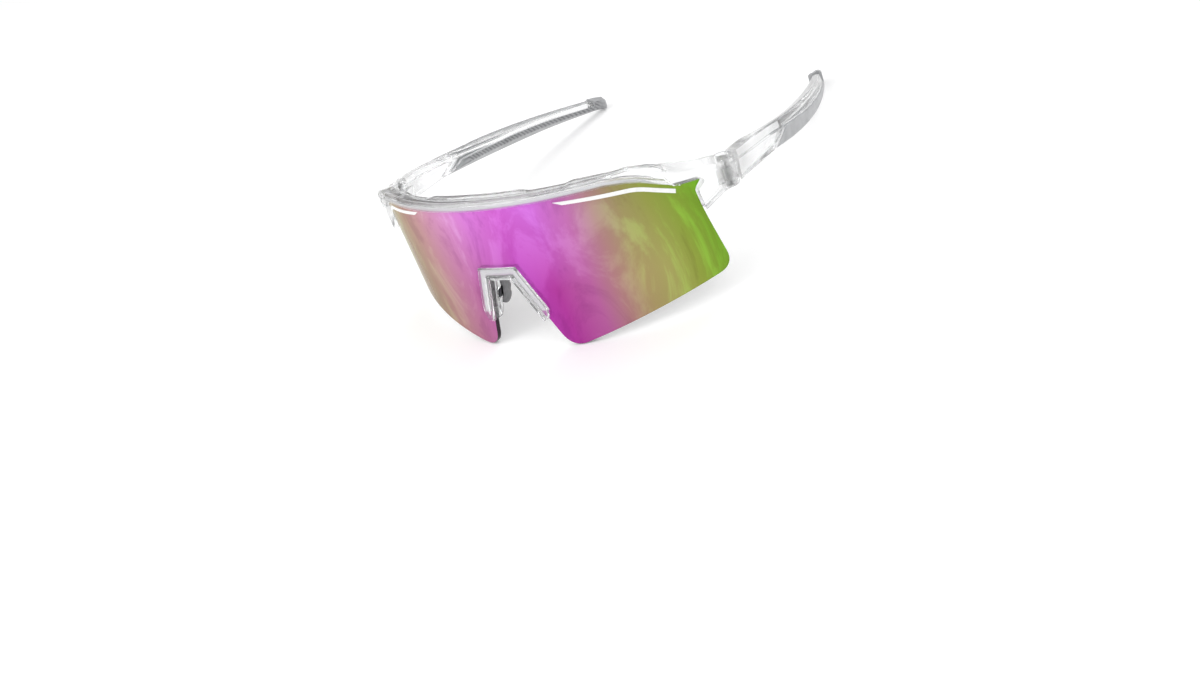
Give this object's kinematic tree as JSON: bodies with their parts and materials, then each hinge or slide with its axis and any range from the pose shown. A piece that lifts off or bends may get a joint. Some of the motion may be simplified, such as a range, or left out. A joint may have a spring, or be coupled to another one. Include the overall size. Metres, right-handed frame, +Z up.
{
  "type": "sport sunglasses",
  "caption": "Wraparound sport sunglasses: clear half-rim frame, mirrored shield lens, clip-in nose bridge with swivelling pads, folding temples with rubber grips.",
  "frame": {"origin": "centre of the bounding box's underside, on the surface that the open glasses stand on", "axes": "+X towards the wearer's left as seen from the front (the lens's right-hand side in a front view), +Y from the lens back to the temple tips, +Z up; the glasses lean 12 degrees forward on the lens's lower corners and the temple tips"},
  "size_m": [0.1392, 0.138, 0.0539],
  "materials": {
    "clear_plastic": "water-clear polished nylon",
    "mirror_lens": "mirror-coated polycarbonate, violet in the middle and green at the sides",
    "grip_rubber": "light grey satin rubber with a fine diagonal rib",
    "pad_rubber": "dark grey soft rubber",
    "steel": "turned steel",
    "dark_steel": "blackened steel strip"
  },
  "bodies": {
    "front": {"front_frame": "clear_plastic", "shield_lens": "mirror_lens", "nose_bridge": "clear_plastic", "hinge_screw_left": "steel", "hinge_screw_right": "steel", "hinge_nut_left": "steel", "hinge_nut_right": "steel"},
    "temple_left": {"temple_left": "clear_plastic", "temple_grip_left": "grip_rubber", "hinge_sleeve_left": "steel"},
    "temple_right": {"temple_right": "clear_plastic", "temple_grip_right": "grip_rubber", "hinge_sleeve_right": "steel"},
    "nose_pad_left": {"nose_pad_left": "pad_rubber", "nose_pad_bracket_left": "dark_steel"},
    "nose_pad_right": {"nose_pad_right": "pad_rubber", "nose_pad_bracket_right": "dark_steel"}
  },
  "joints": [
    {"name": "temple_left_fold", "type": "hinge", "parent": "front", "child": "temple_left", "pos_m": [-0.0658, -0.02764, 0.03656], "axis": [0, -0.2125, -0.9772], "range_deg": [0, 90]},
    {"name": "temple_right_fold", "type": "hinge", "parent": "front", "child": "temple_right", "pos_m": [0.0658, -0.02764, 0.03656], "axis": [0, 0.2125, 0.9772], "range_deg": [0, 75]},
    {"name": "nose_pad_left_swivel", "type": "hinge", "parent": "front", "child": "nose_pad_left", "pos_m": [-0.00702, -0.06351, 0.01826], "axis": [-0.3284, -0.0993, -0.9393], "range_deg": [-12, 12]},
    {"name": "nose_pad_right_swivel", "type": "hinge", "parent": "front", "child": "nose_pad_right", "pos_m": [0.00702, -0.06351, 0.01826], "axis": [-0.3284, 0.0993, 0.9393], "range_deg": [-12, 12]}
  ]
}
